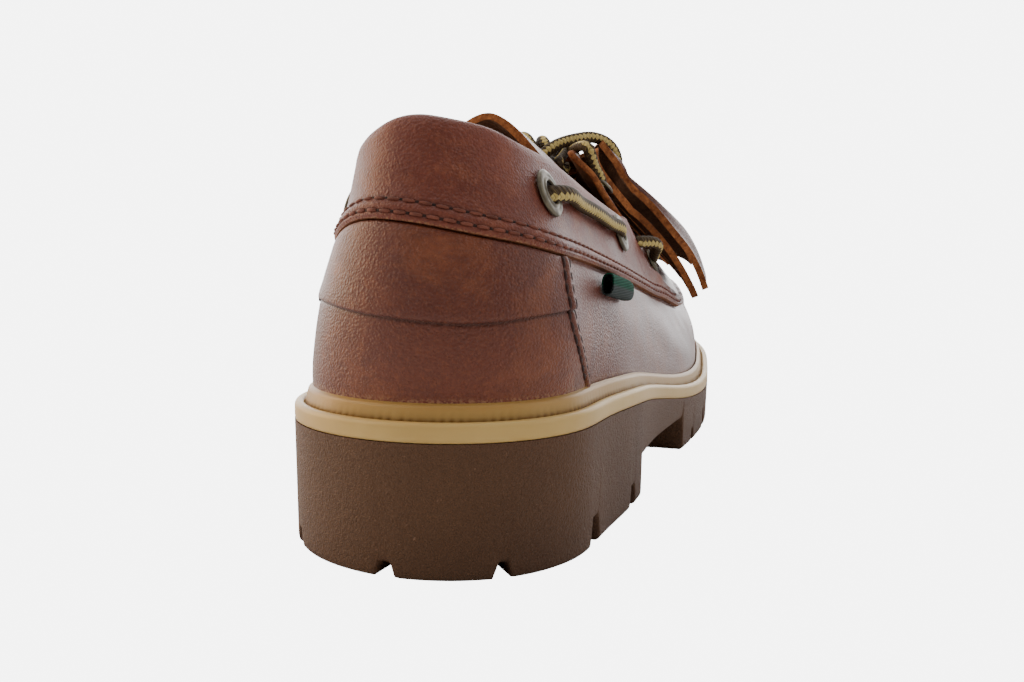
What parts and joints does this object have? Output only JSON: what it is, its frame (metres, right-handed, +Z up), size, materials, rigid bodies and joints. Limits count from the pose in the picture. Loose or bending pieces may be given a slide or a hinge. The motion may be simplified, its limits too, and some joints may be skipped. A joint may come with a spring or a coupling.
{
  "type": "boat shoe",
  "caption": "Leather boat shoe for the right foot with a laced collar band, a fringed kiltie over the tongue and a lugged sole with a cream welt.",
  "frame": {"origin": "centre of the bounding box on the floor under the sole", "axes": "+Y from heel to toe, +Z up, +X towards the outer side of the right foot"},
  "size_m": [0.1047, 0.3, 0.1121],
  "materials": {
    "rubber_brown": "finely textured, matt",
    "rubber_cream": "smooth, slightly translucent",
    "insole_leather": "plain",
    "leather_brown": "waxy pull-up leather, fine grain",
    "leather_band": "waxy pull-up leather, stitched",
    "tongue_leather": "waxy leather, raw edge",
    "kiltie_leather": "waxy leather, raw cut edges",
    "ribbon_green": "woven ribbon",
    "antique_brass": "dull, aged",
    "lace_braid": "braided, dark with a light fleck",
    "lace_tip": "smooth"
  },
  "bodies": {
    "root": {"outsole": "rubber_brown", "midsole": "rubber_cream", "insole": "insole_leather", "upper": "leather_brown", "collar_band": "leather_band", "tongue": "tongue_leather", "kiltie_upper": "kiltie_leather", "kiltie_lower": "kiltie_leather", "side_tab": "ribbon_green", "eyelet_rear_outer": "antique_brass", "eyelet_rear_inner": "antique_brass", "eyelet_middle_outer": "antique_brass", "eyelet_middle_inner": "antique_brass", "eyelet_front_outer": "antique_brass", "eyelet_front_inner": "antique_brass", "eyelet_top_outer": "antique_brass", "eyelet_top_inner": "antique_brass", "lace_side_outer": "lace_braid", "lace_side_inner": "lace_braid", "lace_front_outer": "lace_braid", "lace_front_inner": "lace_braid", "lace_tie_outer": "lace_braid", "lace_tie_inner": "lace_braid", "lace_knot": "lace_braid", "lace_loop_outer": "lace_braid", "lace_loop_inner": "lace_braid", "lace_end_outer": "lace_braid", "lace_end_inner": "lace_braid", "lace_tip_outer": "lace_tip", "lace_tip_inner": "lace_tip"}
  },
  "joints": []
}
